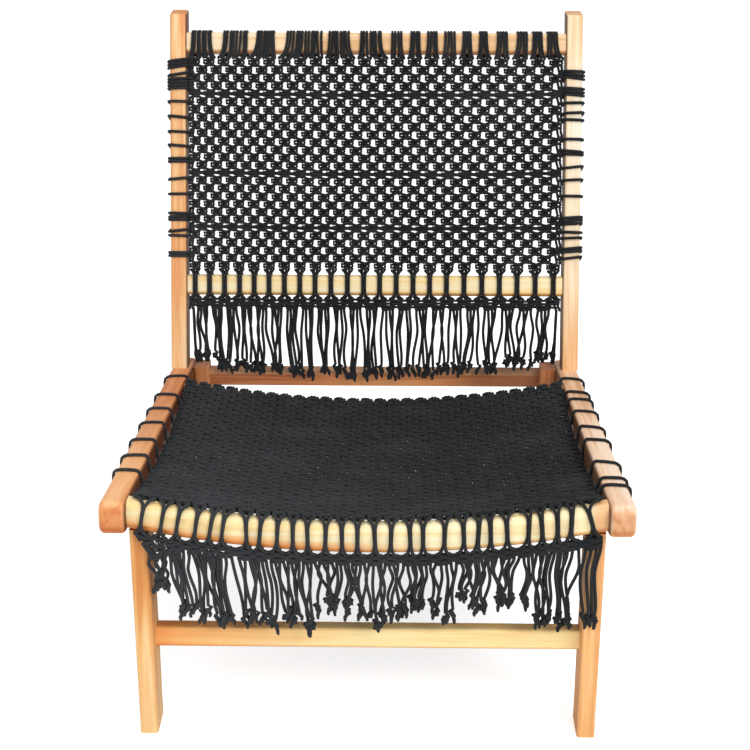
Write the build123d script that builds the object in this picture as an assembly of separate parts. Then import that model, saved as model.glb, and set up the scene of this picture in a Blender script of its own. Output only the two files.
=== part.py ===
from build123d import *
from math import cos, radians, sin, sqrt, tan, asin
import os

# Low lounge chair: a wooden frame that carries a knotted cord seat and back.
# Millimetres. +X is to the right as seen from in front, +Y the rear, +Z up. The chair faces -Y.
# The origin is on the floor, midway across and midway between the front feet and the post tops.

# ---------------------------------------------------------------- overall stance
overall_width = 620.0  # over the outer faces of rails and posts
overall_height = 734.0  # floor to post tops
seat_slope = radians(8.4)  # rails fall to the rear
back_lean = radians(20.0)  # posts lean back from upright
front_leg_lean = radians(4.7)  # front legs lean back, feet forward
rear_leg_splay = radians(12.0)  # rear legs run back, feet rearward

# ---------------------------------------------------------------- seat rails
rail_width = 31.0
rail_height = 40.0
rail_length = 650.0
rail_behind_post = 70.0  # rail's heel behind the front of the post's foot
rail_front_height = 318.0  # top of the rail at its nose
rail_nose_back = 6.5  # nose behind the front of the feet
rail_nose_radius = 14.0
rail_heel_radius = 9.0
rail_edge_radius = 6.5

# ---------------------------------------------------------------- back posts
post_width = 25.0
post_depth = 35.0
post_edge_radius = 5.0
post_top_radius = 2.5
post_tenon_thickness = 12.0
post_tenon_depth = 21.0
post_tenon_length = 20.0
post_pin_radius = 4.0
post_pin_drop = 10.0  # pin below the post's shoulder
post_pin_stop = 5.0  # wood left outside the pin

# ---------------------------------------------------------------- legs
leg_thickness = 22.0
leg_depth = 45.0
leg_edge_radius = 3.5
front_leg_foot_back = 0.0  # front of the front foot behind the chair's front
rear_foot_behind_post = 66.0  # front of the rear foot behind the front of the post's foot
front_head_drop = 15.0  # head below the rail's top
rear_head_drop = 4.0
leg_dowel_radius = 4.0
leg_dowel_bite = 18.0  # depth of a dowel in the rail
dowel_clearance = 0.05
front_dowel_spread = 9.0  # along the rail, between the two dowels of a front leg
front_dowel_drops = (23.0, 31.5)  # below the rail's top
rear_dowel_spread = 18.0
rear_dowel_drops = (22.0, 12.0)

# ---------------------------------------------------------------- stretchers
stretcher_depth = 20.0
stretcher_height = 26.5
stretcher_setback = 22.0  # from the legs' front faces
stretcher_edge_radius = 3.5
stretcher_tenon_thickness = 11.0
stretcher_tenon_height = 18.0
stretcher_tenon_length = 13.0
front_stretcher_level = 119.0  # centre above the floor
rear_stretcher_drop = 36.5  # centre below the front of the post's foot

# ---------------------------------------------------------------- seat bars
seat_bar_depth = 28.0
seat_bar_height = 34.0
seat_bar_radius = 9.0
seat_bar_drop = 19.0  # bar's middle line below the rail's top, at its ends
seat_dip = 29.0  # how far the bars dip in the middle
front_bar_back = 27.0  # bar's middle behind the nose, along the rail
rear_bar_ahead = 72.0  # bar's middle ahead of the post's foot, along the rail
seat_bar_tenon_radius = 9.0
seat_bar_tenon_length = 16.0

# ---------------------------------------------------------------- back bars
back_bar_depth = 26.0
back_bar_height = 31.0
back_bar_radius = 7.0
top_bar_rise = 492.0  # bar's middle above the post's foot, along the post
lower_bar_rise = 128.0
back_bar_tenon_radius = 8.0
back_bar_tenon_length = 14.0

# ---------------------------------------------------------------- cord work
cord = 4.5  # cord thickness
touch = 0.2  # clearance of cord work from what it lies on
joint_clearance = 0.1  # glue gap round a tenon
socket_relief = 1.0  # socket deeper than its tenon
overrun = 1.0  # how far a cut or a tenon runs past the face it starts from
turn_rounding = 0.6  # share of the cord's thickness that its outer corners are cut by
seat_net_thickness = 8.0
seat_net_gap = 9.0  # net's edge to the rail
seat_net_sag = 12.0
back_net_thickness = 7.0
back_net_gap = 9.0
band_height = 14.0
band_thickness = 9.0
seat_band_forward = 8.0  # band's middle ahead of the bar's middle
front_wrap_count = 28
front_wrap_margin = 7.5  # outermost cord from the leg's inner face
lower_wrap_count = 23
lower_wrap_margin = 15.0  # outermost cord from the post
top_wrap_count = 23
top_wrap_width = 15.0
top_wrap_margin = 21.0
strand_width = 5.0
strands_per_wrap = 2
strand_spread = 8.0
seat_strand_lengths = (112.0, 86.0, 100.0, 124.0, 94.0, 118.0, 106.0)
back_strand_lengths = (104.0, 112.0, 98.0, 116.0, 108.0)
filler_shares = (0.20, 0.47, 0.82)  # shares of the net's height, from the bottom

# Lashings: (share of the net's height or length, number of turns laid side by side).
post_lashing_shares_left = (
    (0.08, 2), (0.165, 1), (0.19, 1), (0.255, 3), (0.355, 1), (0.43, 1), (0.515, 2),
    (0.585, 1), (0.65, 1), (0.715, 1), (0.785, 1), (0.87, 4), (0.915, 1), (0.955, 2),
)  # fmt: skip
post_lashing_shares_right = (
    (0.075, 1), (0.11, 2), (0.165, 1), (0.19, 1), (0.245, 3), (0.36, 1), (0.43, 1),
    (0.49, 1), (0.56, 2), (0.62, 1), (0.7, 1), (0.74, 1), (0.785, 1), (0.84, 3), (0.925, 3),
)  # fmt: skip
rail_lashing_shares_left = ((0.15, 1), (0.275, 1), (0.42, 1), (0.58, 1), (0.725, 1), (0.88, 1))
rail_lashing_shares_right = (
    (0.06, 1), (0.115, 1), (0.25, 1), (0.445, 1), (0.57, 1), (0.725, 1), (0.855, 1), (0.935, 1),
)  # fmt: skip
heel_lashing_gap = 5.0  # last turn on the rail, behind the rear bar

# ---------------------------------------------------------------- derived places
half_width = overall_width / 2
rail_inner = half_width - rail_width
post_inner = half_width - post_width
leg_inner = rail_inner - leg_thickness
post_seat_depth = rail_length - rail_behind_post
rear_bar_back = post_seat_depth - rear_bar_ahead
post_foot_rise = post_depth * tan(back_lean - seat_slope)  # foot's rear corner above its front
post_foot_level = rail_front_height - post_seat_depth * sin(seat_slope)
post_foot_back = rail_nose_back + post_seat_depth * cos(seat_slope)
post_top_back = post_foot_back + (overall_height - post_foot_level) * tan(back_lean)
rear_leg_foot_back = post_foot_back + rear_foot_behind_post
rear_stretcher_level = post_foot_level - rear_stretcher_drop
overall_depth = post_top_back + post_depth / cos(back_lean)
chair_front = -overall_depth / 2
nose_y = chair_front + rail_nose_back
SIDES = (("left", -1), ("right", 1))


def along_rail(back, up=0.0, x=0.0):
    """Point on the rails' line: `back` behind the nose along the rail, `up` square to its top."""
    y = nose_y + back * cos(seat_slope) + up * sin(seat_slope)
    z = rail_front_height - back * sin(seat_slope) + up * cos(seat_slope)
    return Vector(x, y, z)


post_foot = along_rail(post_seat_depth)


def along_post(rise, back=0.0, x=0.0):
    """Point on the posts' line: `rise` above the foot along the post, `back` behind its front face."""
    y = post_foot.Y + rise * sin(back_lean) + back * cos(back_lean)
    z = post_foot.Z + rise * cos(back_lean) - back * sin(back_lean)
    return Vector(x, y, z)


def side_frame(origin, lean):
    """Plane across the chair: its x runs to the rear and its y up, both leaning back by `lean`."""
    return Plane(origin=origin, x_dir=(0, cos(lean), -sin(lean)), z_dir=(1, 0, 0))


def front_frame(origin, lean):
    """Plane facing the front: its x is the chair's X and its y runs up, leaning back by `lean`."""
    return Plane(origin=origin, x_dir=(1, 0, 0), z_dir=(0, -cos(lean), sin(lean)))


def cross_frame(origin, lean):
    """Plane square to a member that leans back by `lean`: x is the chair's X, y runs to the rear."""
    return Plane(origin=origin, x_dir=(1, 0, 0), z_dir=(0, sin(lean), cos(lean)))


def across(plane, outline, x_from, x_to):
    """Outline drawn on a side plane, carried across the chair from x_from to x_to."""
    low, high = min(x_from, x_to), max(x_from, x_to)
    return extrude(plane.offset(low) * outline, amount=high - low)


def box_between(plane, back_from, back_to, up_from, up_to, x_from, x_to):
    """Block in a side plane's own directions."""
    outline = Pos((back_from + back_to) / 2, (up_from + up_to) / 2) * Rectangle(
        back_to - back_from, up_to - up_from
    )
    return across(plane, outline, x_from, x_to)


def cylinder_across(centre, radius, x_from, x_to):
    """Round pin or socket along X through `centre`."""
    low, high = min(x_from, x_to), max(x_from, x_to)
    plane = Plane(origin=(low, centre.Y, centre.Z), x_dir=(0, 1, 0), z_dir=(1, 0, 0))
    return extrude(plane * Circle(radius), amount=high - low)


def soften(solid, direction, radius):
    """Round the edges that run along `direction`."""
    return fillet(solid.edges().filter_by(Axis((0, 0, 0), direction)), radius)


rail_plane = side_frame(along_rail(0), seat_slope)
post_plane = side_frame(post_foot, back_lean)


# ---------------------------------------------------------------- legs
def level_under_rail(y, drop):
    """Height above the floor, at y, of the line `drop` under the rail's top."""
    return rail_front_height - (y - nose_y) * tan(seat_slope) - drop / cos(seat_slope)


def head_corner(foot_y, lean, drop):
    """Where a leg's edge, rising from foot_y and leaning back, meets the line `drop` under the rail top."""
    rise = level_under_rail(foot_y, drop) / (1 + tan(lean) * tan(seat_slope))
    return foot_y + rise * tan(lean), rise


def leg_outline(foot_back, lean, drop):
    """Side view of a leg: level foot, parallel edges, head cut to the rail's slope."""
    front = chair_front + foot_back
    rear = front + leg_depth / cos(lean)
    corners = [
        (front, 0),
        (rear, 0),
        head_corner(rear, lean, drop),
        head_corner(front, lean, drop),
    ]
    return make_face(Polyline(*corners, close=True))


def stretcher_middle(foot_back, lean, level):
    """Centre of a stretcher's section, at its height and set back in the leg's depth."""
    back = stretcher_setback + stretcher_depth / 2
    y = chair_front + foot_back + level * tan(lean) + back / cos(lean)
    return Vector(0, y, level)


def stretcher_tenon(middle, lean, side, clearance=0.0, relief=0.0):
    """Square tenon at one end of a stretcher, or with clearance the mortise for it."""
    half_t = stretcher_tenon_thickness / 2 + clearance
    half_h = stretcher_tenon_height / 2 + clearance
    reach = leg_inner + stretcher_tenon_length + relief
    plane = side_frame(middle, lean)
    return box_between(plane, -half_t, half_t, -half_h, half_h, side * leg_inner, side * reach)


def head_back(foot_y, lean, drop):
    """Distance behind the nose, along the rail, of a leg edge's upper end."""
    return (head_corner(foot_y, lean, drop)[0] - nose_y) / cos(seat_slope)


def dowel_pair(middle, spread, drops):
    """Two dowel centres about `middle` behind the nose, each its own drop under the rail's top."""
    places = (middle - spread / 2, middle + spread / 2)
    return [along_rail(back, -drop) for back, drop in zip(places, drops)]


front_foot_front = chair_front + front_leg_foot_back
front_foot_rear = front_foot_front + leg_depth / cos(front_leg_lean)
rear_foot_front = chair_front + rear_leg_foot_back
rear_foot_rear = rear_foot_front + leg_depth / cos(rear_leg_splay)
tongue_front = front_bar_back + seat_bar_depth / 2 + joint_clearance
tongue_rear = head_back(front_foot_rear, front_leg_lean, front_head_drop)
rear_head_front = head_back(rear_foot_front, -rear_leg_splay, rear_head_drop)
rear_head_rear = head_back(rear_foot_rear, -rear_leg_splay, rear_head_drop)
front_dowels = dowel_pair((tongue_front + tongue_rear) / 2, front_dowel_spread, front_dowel_drops)
rear_dowels = dowel_pair((rear_head_front + rear_head_rear) / 2, rear_dowel_spread, rear_dowel_drops)


# ---------------------------------------------------------------- seat bars: dipped to a round arc
seat_arc_radius = (rail_inner**2 + seat_dip**2) / (2 * seat_dip)
seat_arc_centre = seat_arc_radius - seat_dip  # above the bars' ends


def arc_level(x, above):
    """Height of the arc `above` the bars' middle line, at a distance x from the chair's middle."""
    return seat_arc_centre - sqrt((seat_arc_radius - above) ** 2 - x**2)


def dipped_outline(above_top, above_bottom, half_length):
    """Front view of a strip that follows the bars' dip."""
    ends = [-half_length, half_length]
    top = [(x, arc_level(x, above_top)) for x in ends]
    bottom = [(x, arc_level(x, above_bottom)) for x in ends]
    top_middle = (0, arc_level(0, above_top))
    bottom_middle = (0, arc_level(0, above_bottom))
    outline = [
        ThreePointArc(top[0], top_middle, top[1]),
        Line(top[1], bottom[1]),
        ThreePointArc(bottom[1], bottom_middle, bottom[0]),
        Line(bottom[0], top[0]),
    ]
    return make_face(outline)


def seat_bar_plane(back, forward=0.0):
    """Front plane through a seat bar's middle line."""
    return front_frame(along_rail(back - forward, -seat_bar_drop), seat_slope)


def seat_bar(back):
    """Dipped bar with rounded edges and a round tenon at each end."""
    outline = dipped_outline(seat_bar_height / 2, -seat_bar_height / 2, rail_inner)
    bar = extrude(seat_bar_plane(back) * outline, amount=seat_bar_depth / 2, both=True)
    ends = bar.faces().filter_by(Axis.X).edges()
    long_edges = [e for e in bar.edges() if e not in ends]
    bar = fillet(long_edges, seat_bar_radius)
    middle = along_rail(back, -seat_bar_drop)
    for _, side in SIDES:
        tip = side * (rail_inner + seat_bar_tenon_length)
        bar += cylinder_across(middle, seat_bar_tenon_radius, side * (rail_inner - overrun), tip)
    return bar


# ---------------------------------------------------------------- wooden pieces
def seat_rail(side):
    """Rail with a round nose, a socket for each seat bar, the post's mortise and the dowel holes."""
    outline = Pos(rail_length / 2, -rail_height / 2) * Rectangle(rail_length, rail_height)
    by_back = outline.vertices().sort_by(Axis.X)
    outline = fillet(by_back[:2], rail_nose_radius)
    outline = fillet(outline.vertices().sort_by(Axis.X)[-2:], rail_heel_radius)
    rail = across(rail_plane, outline, side * rail_inner, side * half_width)
    flanks = rail.faces().filter_by(Axis.X)
    rail = fillet(flanks.edges(), rail_edge_radius)
    for back in (front_bar_back, rear_bar_back):
        depth = rail_inner + seat_bar_tenon_length + socket_relief
        radius = seat_bar_tenon_radius + joint_clearance
        middle = along_rail(back, -seat_bar_drop)
        rail -= cylinder_across(middle, radius, side * (rail_inner - overrun), side * depth)
    rail -= post_tenon(side, joint_clearance, socket_relief)
    for point in front_dowels + rear_dowels:
        radius = leg_dowel_radius + dowel_clearance
        depth = rail_inner + leg_dowel_bite + dowel_clearance
        rail -= cylinder_across(point, radius, side * (rail_inner - overrun), side * depth)
    rail -= post_pin(side, dowel_clearance)
    return rail


def post_tenon(side, clearance=0.0, relief=0.0):
    """Stub tenon under a post, or with clearance the mortise for it."""
    middle = side * (half_width - post_width / 2)
    half_t = post_tenon_thickness / 2 + clearance
    back_from = (post_depth - post_tenon_depth) / 2 - clearance
    back_to = (post_depth + post_tenon_depth) / 2 + clearance
    return box_between(
        post_plane, back_from, back_to, -post_tenon_length - relief, post_foot_rise,
        middle - half_t, middle + half_t,
    )  # fmt: skip


def post_pin(side, clearance=0.0):
    """Pin from the rail's inner face through the post's tenon."""
    middle = along_post(-post_pin_drop, post_depth / 2)
    stop = half_width - post_pin_stop + clearance
    return cylinder_across(middle, post_pin_radius + clearance, side * rail_inner, side * stop)


def back_post(side):
    """Leaning post: foot cut to the rail's slope, level top, sockets for both back bars, stub tenon."""
    top_rise = (overall_height - post_foot.Z) / cos(back_lean)
    top_gain = post_depth * tan(back_lean)
    corners = [
        (0, 0),
        (post_depth, post_foot_rise),
        (post_depth, top_rise + top_gain),
        (0, top_rise),
    ]
    outline = make_face(Polyline(*corners, close=True))
    post = across(post_plane, outline, side * post_inner, side * half_width)
    post = soften(post, (0, sin(back_lean), cos(back_lean)), post_edge_radius)
    post = fillet(post.faces().sort_by(Axis.Z)[-1].edges(), post_top_radius)
    tenon = post_tenon(side)
    mortised = box_between(
        rail_plane, 0, rail_length, -rail_height, 0, side * rail_inner, side * half_width
    )
    post += tenon & mortised
    for rise in (lower_bar_rise, top_bar_rise):
        middle = along_post(rise, post_depth / 2)
        radius = back_bar_tenon_radius + joint_clearance
        depth = post_inner + back_bar_tenon_length + socket_relief
        post -= cylinder_across(middle, radius, side * (post_inner - overrun), side * depth)
    return post - post_pin(side, dowel_clearance)


def bar_housing(side):
    """Notch in a front leg's head that the front bar lies in."""
    floor = arc_level(leg_inner, -seat_bar_height / 2) - seat_bar_drop - joint_clearance
    return box_between(
        rail_plane, -leg_depth, tongue_front, floor, rail_height,
        side * (leg_inner - overrun), side * (rail_inner + overrun),
    )  # fmt: skip


def leg(side, foot_back, lean, drop, dowels, level):
    """Flat leg lapped on the rail's inner face, with dowel holes and the stretcher's mortise."""
    solid = across(Plane.YZ, leg_outline(foot_back, lean, drop), side * leg_inner, side * rail_inner)
    solid = soften(solid, (0, sin(lean), cos(lean)), leg_edge_radius)
    for point in dowels:
        radius = leg_dowel_radius + dowel_clearance
        solid -= cylinder_across(point, radius, side * (leg_inner - overrun), side * (rail_inner + overrun))
    middle = stretcher_middle(foot_back, lean, level)
    return solid - stretcher_tenon(middle, lean, side, joint_clearance, socket_relief)


def front_leg(side):
    """Front leg with its head notched for the front bar."""
    whole = leg(
        side, front_leg_foot_back, front_leg_lean, front_head_drop, front_dowels, front_stretcher_level
    )
    return whole - bar_housing(side)


def rear_leg(side):
    """Rear leg, splayed to the rear."""
    return leg(
        side, rear_leg_foot_back, -rear_leg_splay, rear_head_drop, rear_dowels, rear_stretcher_level
    )


def stretcher(foot_back, lean, level):
    """Straight cross rail with rounded edges and a square tenon at each end."""
    middle = stretcher_middle(foot_back, lean, level)
    plane = side_frame(middle, lean)
    half_d, half_h = stretcher_depth / 2, stretcher_height / 2
    bar = box_between(plane, -half_d, half_d, -half_h, half_h, -leg_inner, leg_inner)
    bar = soften(bar, (1, 0, 0), stretcher_edge_radius)
    for _, side in SIDES:
        bar += stretcher_tenon(middle, lean, side)
    return bar


def back_bar(rise):
    """Straight bar between the posts with rounded edges and a round tenon at each end."""
    middle = along_post(rise, post_depth / 2)
    plane = side_frame(middle, back_lean)
    half_d, half_h = back_bar_depth / 2, back_bar_height / 2
    bar = box_between(plane, -half_d, half_d, -half_h, half_h, -post_inner, post_inner)
    bar = soften(bar, (1, 0, 0), back_bar_radius)
    for _, side in SIDES:
        tip = side * (post_inner + back_bar_tenon_length)
        bar += cylinder_across(middle, back_bar_tenon_radius, side * (post_inner - overrun), tip)
    return bar


def leg_dowels():
    """The eight dowels that fix the legs' heads to the rails."""
    tip = rail_inner + leg_dowel_bite
    return [
        cylinder_across(point, leg_dowel_radius, side * leg_inner, side * tip)
        for _, side in SIDES
        for point in front_dowels + rear_dowels
    ]


# ---------------------------------------------------------------- cord work
def cornered(width, height, corner):
    """Rectangle with its corners cut off, as a cord lies on a rounded bar."""
    w, h = width / 2, height / 2
    points = [
        (w - corner, h), (w, h - corner), (w, corner - h), (w - corner, -h),
        (corner - w, -h), (-w, corner - h), (-w, h - corner), (corner - w, h),
    ]  # fmt: skip
    return make_face(Polyline(*points, close=True))


def turn_of_cord(plane, width, height, corner, turns_width):
    """Flat ring of cord round a section of width by height, with its middle on the plane."""
    outer = cornered(width + 2 * cord, height + 2 * cord, corner + cord * turn_rounding)
    return extrude(plane * (outer - Rectangle(width, height)), amount=turns_width / 2, both=True)


def spaced(count, half_span):
    """Even places from -half_span to half_span."""
    return [half_span * (2 * i / (count - 1) - 1) for i in range(count)]


def seat_bar_station(back, x):
    """Plane square to a dipped seat bar at x: its x runs to the rear, its y up."""
    angle = asin(x / seat_arc_radius)
    up = (0, sin(seat_slope), cos(seat_slope))
    level = arc_level(x, 0)
    origin = along_rail(back, level - seat_bar_drop, x)
    square = (cos(angle), sin(angle) * up[1], sin(angle) * up[2])
    return Plane(origin=origin, x_dir=(0, cos(seat_slope), -sin(seat_slope)), z_dir=square)


front_wrap_places = spaced(front_wrap_count, leg_inner - front_wrap_margin)
lower_wrap_places = spaced(lower_wrap_count, post_inner - lower_wrap_margin)
top_wrap_places = spaced(top_wrap_count, post_inner - top_wrap_margin)


def seat_front_wraps():
    """The net's cords, each led round the front bar."""
    width = seat_bar_depth + 2 * touch
    height = seat_bar_height + 2 * touch
    return [
        turn_of_cord(seat_bar_station(front_bar_back, x), width, height, seat_bar_radius / 2, cord)
        for x in front_wrap_places
    ]


def seat_rear_wraps():
    """The cords lie side by side round the rear bar and cover it like a sleeve."""
    half_length = rail_inner - seat_net_gap
    gap = touch + cord
    outer = dipped_outline(seat_bar_height / 2 + gap, -seat_bar_height / 2 - gap, half_length)
    inner = dipped_outline(seat_bar_height / 2 + touch, -seat_bar_height / 2 - touch, half_length)
    plane = seat_bar_plane(rear_bar_back)
    sleeve = extrude(plane * outer, amount=seat_bar_depth / 2 + gap, both=True)
    core = extrude(plane * inner, amount=seat_bar_depth / 2 + touch, both=True)
    return [sleeve - core]


def back_wraps(rise, places, turns_width):
    """Turns of cord round a back bar."""
    width = back_bar_depth + 2 * touch
    height = back_bar_height + 2 * touch
    middle = along_post(rise, post_depth / 2)
    return [
        turn_of_cord(
            side_frame(Vector(x, middle.Y, middle.Z), back_lean),
            width, height, back_bar_radius / 2, turns_width,
        )  # fmt: skip
        for x in places
    ]


net_bottom = lower_bar_rise + back_bar_height / 2 + cord + 2 * touch
net_top = top_bar_rise - back_bar_height / 2 - cord - 2 * touch
back_net_half = post_inner - back_net_gap
back_bar_front = (post_depth - back_bar_depth) / 2
back_net_front = back_bar_front - cord - touch
seat_net_half = rail_inner - seat_net_gap
seat_net_from = front_bar_back + seat_bar_depth / 2 + cord + 2 * touch
seat_net_to = rear_bar_back - seat_bar_depth / 2 - cord - 2 * touch
seat_net_above = seat_bar_height / 2 + cord - seat_net_thickness


def back_net():
    """Knotted net stretched between the two back bars."""
    return box_between(
        post_plane, back_net_front, back_net_front + back_net_thickness,
        net_bottom, net_top, -back_net_half, back_net_half,
    )  # fmt: skip


def back_filler_cords():
    """Level cords run across behind the net."""
    front = back_net_front + back_net_thickness + touch
    height = net_top - net_bottom
    return [
        box_between(
            post_plane, front, front + cord,
            net_bottom + share * height - cord / 2, net_bottom + share * height + cord / 2,
            -back_net_half, back_net_half,
        )  # fmt: skip
        for share in filler_shares
    ]


def seat_net():
    """Dense knotted seat: dipped across like its bars and sagging a little along its length."""
    middle = (seat_net_from + seat_net_to) / 2
    places = ((seat_net_from, 0), (middle, seat_net_sag), (seat_net_to, 0))
    section = dipped_outline(seat_net_above + seat_net_thickness, seat_net_above, seat_net_half)
    faces = [
        front_frame(along_rail(back, -seat_bar_drop - sag), seat_slope) * section
        for back, sag in places
    ]
    return loft(faces)


def lashing_turns(turns, start, length, plane_at, width, height):
    """Lacing round a post or rail: rings that also take in the net's edge."""
    return [
        turn_of_cord(plane_at(start + share * length), width, height, cord / 2, count * cord)
        for share, count in turns
    ]


def post_lashings(side, turns):
    """Lacing of the back net to a post."""
    inner = back_net_half + touch + cord
    outer = half_width + touch
    x = side * (inner + outer) / 2

    def plane_at(rise):
        return cross_frame(along_post(rise, post_depth / 2, x), back_lean)

    return lashing_turns(
        turns, net_bottom, net_top - net_bottom, plane_at, outer - inner, post_depth + 2 * touch
    )


def rail_lashings(side, turns):
    """Lacing of the seat net to a rail, with one more turn behind the rear bar."""
    inner = seat_net_half + touch + cord
    outer = half_width + touch
    x = side * (inner + outer) / 2
    length = seat_net_to - seat_net_from
    heel = rear_bar_back + seat_bar_depth / 2 + heel_lashing_gap + cord / 2
    heel_share = (heel - seat_net_from) / length

    def plane_at(back):
        return cross_frame(along_rail(back, -rail_height / 2, x), seat_slope - radians(90))

    places = (*turns, (heel_share, 1))
    return lashing_turns(
        places, seat_net_from, length, plane_at, outer - inner, rail_height + 2 * touch
    )


def seat_gather_band():
    """Row of knots under the front bar, where the wrapped cords are tied together."""
    top = -seat_bar_height / 2 - cord - 2 * touch
    outline = dipped_outline(top, top - band_height, leg_inner - touch)
    plane = seat_bar_plane(front_bar_back, seat_band_forward)
    return extrude(plane * outline, amount=band_thickness / 2, both=True)


band_top = lower_bar_rise - back_bar_height / 2 - cord - 2 * touch


def back_gather_band():
    """Row of knots under the lower back bar."""
    return box_between(
        post_plane, back_net_front, back_net_front + band_thickness,
        band_top - band_height, band_top, -back_net_half, back_net_half,
    )  # fmt: skip


def hanging_strands(places, root_at, lowest_at, lengths, band):
    """Cord ends that hang straight down from a row of knots, in pairs, of uneven length."""
    strands = []
    spread = strand_spread / 2
    offsets = [spread * (2 * k / (strands_per_wrap - 1) - 1) for k in range(strands_per_wrap)]
    roots = [x + offset for x in places for offset in offsets]
    for i, x in enumerate(roots):
        root = root_at(x)
        length = min(lengths[i % len(lengths)], root.Z - lowest_at(x, root.Y))
        tall = length + band_height / 4
        middle = Vector(x, root.Y, root.Z - length + tall / 2)
        strands.append(Pos(middle) * Box(strand_width, cord, tall) - band)
    return strands


def seat_fringe(band):
    """Cord ends under the front bar."""
    below = -seat_bar_height / 2 - cord - 2 * touch - band_height

    def root_at(x):
        return along_rail(
            front_bar_back - seat_band_forward, arc_level(x, below) - seat_bar_drop
        )

    def lowest_at(x, y):
        return touch

    return hanging_strands(front_wrap_places, root_at, lowest_at, seat_strand_lengths, band)


def back_fringe(band):
    """Cord ends under the lower back bar. Those over a rear leg's head stop short of it."""

    def root_at(x):
        return along_post(band_top - band_height, back_net_front + band_thickness / 2)

    def lowest_at(x, y):
        over_leg = abs(x) + strand_width / 2 + touch > leg_inner
        return level_under_rail(y - cord, rear_head_drop) + touch if over_leg else touch

    return hanging_strands(lower_wrap_places, root_at, lowest_at, back_strand_lengths, band)


# ---------------------------------------------------------------- all sub-parts
def all_parts():
    """Name and solids of every sub-part."""
    parts = {}
    for name, side in SIDES:
        parts["seat_rail_" + name] = seat_rail(side)
        parts["back_post_" + name] = back_post(side)
        parts["front_leg_" + name] = front_leg(side)
        parts["rear_leg_" + name] = rear_leg(side)
    parts["seat_front_bar"] = seat_bar(front_bar_back)
    parts["seat_rear_bar"] = seat_bar(rear_bar_back)
    parts["back_top_bar"] = back_bar(top_bar_rise)
    parts["back_lower_bar"] = back_bar(lower_bar_rise)
    parts["front_stretcher"] = stretcher(
        front_leg_foot_back, front_leg_lean, front_stretcher_level
    )
    parts["rear_stretcher"] = stretcher(
        rear_leg_foot_back, -rear_leg_splay, rear_stretcher_level
    )
    parts["leg_dowels"] = leg_dowels()
    parts["post_pins"] = [post_pin(side) for _, side in SIDES]
    parts["seat_net"] = seat_net()
    parts["back_net"] = back_net()
    parts["seat_front_wraps"] = seat_front_wraps()
    parts["seat_rear_wraps"] = seat_rear_wraps()
    parts["back_top_wraps"] = back_wraps(top_bar_rise, top_wrap_places, top_wrap_width)
    parts["back_lower_wraps"] = back_wraps(lower_bar_rise, lower_wrap_places, cord)
    parts["post_lashings_left"] = post_lashings(-1, post_lashing_shares_left)
    parts["post_lashings_right"] = post_lashings(1, post_lashing_shares_right)
    parts["rail_lashings_left"] = rail_lashings(-1, rail_lashing_shares_left)
    parts["rail_lashings_right"] = rail_lashings(1, rail_lashing_shares_right)
    parts["back_filler_cords"] = back_filler_cords()
    parts["seat_gather_band"] = seat_gather_band()
    parts["back_gather_band"] = back_gather_band()
    parts["seat_fringe"] = seat_fringe(parts["seat_gather_band"])
    parts["back_fringe"] = back_fringe(parts["back_gather_band"])
    return parts


os.makedirs("parts", exist_ok=True)
for node, shape in all_parts().items():
    solids = shape if isinstance(shape, list) else [shape]
    flat = [s for piece in solids for s in piece.solids()]
    export_step(flat[0] if len(flat) == 1 else Compound(children=flat), f"parts/{node}.step")
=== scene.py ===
from math import atan2, cos, hypot, pi, radians, sin, tan

import bpy
import numpy as np
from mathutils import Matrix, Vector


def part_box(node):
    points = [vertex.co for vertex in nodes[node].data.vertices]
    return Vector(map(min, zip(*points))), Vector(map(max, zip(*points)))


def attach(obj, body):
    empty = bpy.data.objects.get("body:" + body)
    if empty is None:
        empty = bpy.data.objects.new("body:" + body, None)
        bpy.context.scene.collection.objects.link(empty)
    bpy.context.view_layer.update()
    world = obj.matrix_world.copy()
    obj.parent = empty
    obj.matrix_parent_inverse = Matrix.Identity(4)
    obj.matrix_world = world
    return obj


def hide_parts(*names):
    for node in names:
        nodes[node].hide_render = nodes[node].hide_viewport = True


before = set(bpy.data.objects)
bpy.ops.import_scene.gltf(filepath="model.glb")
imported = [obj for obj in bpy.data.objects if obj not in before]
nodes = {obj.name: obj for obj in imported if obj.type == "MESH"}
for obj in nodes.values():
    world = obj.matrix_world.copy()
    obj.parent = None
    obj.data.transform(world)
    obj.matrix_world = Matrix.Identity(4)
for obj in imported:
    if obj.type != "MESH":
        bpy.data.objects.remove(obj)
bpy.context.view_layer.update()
mm = 0.001


# ---------------------------------------------------------------- the wooden frame
# Side rails, posts, legs and cross bars of oiled teak, planed and sanded with rounded edges. The
# solids come from the CAD; here each gets wood whose grain runs along its own length.
class Sock:
    """A shader socket that can be used in Python arithmetic; each operation adds a Math node."""

    def __init__(self, finish, socket):
        self.finish = finish
        self.socket = socket

    def maths(self, operation, *values):
        """A Math node on one or two values."""
        return self.finish.node("ShaderNodeMath", {"operation": operation}, *values)

    def __add__(self, other):
        return self.maths("ADD", self, other)

    def __sub__(self, other):
        return self.maths("SUBTRACT", self, other)

    def __rsub__(self, other):
        return self.maths("SUBTRACT", other, self)

    def __mul__(self, other):
        return self.maths("MULTIPLY", self, other)

    __radd__ = __add__
    __rmul__ = __mul__

    def wave(self):
        """Sine of the value."""
        return self.maths("SINE", self)

    def clamped(self, low, high):
        """0 at low, 1 at high, smooth between and level past them; low may be the larger one."""
        return self.finish.node(
            "ShaderNodeMapRange", {"interpolation_type": "SMOOTHSTEP"}, self, low, high
        )


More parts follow.
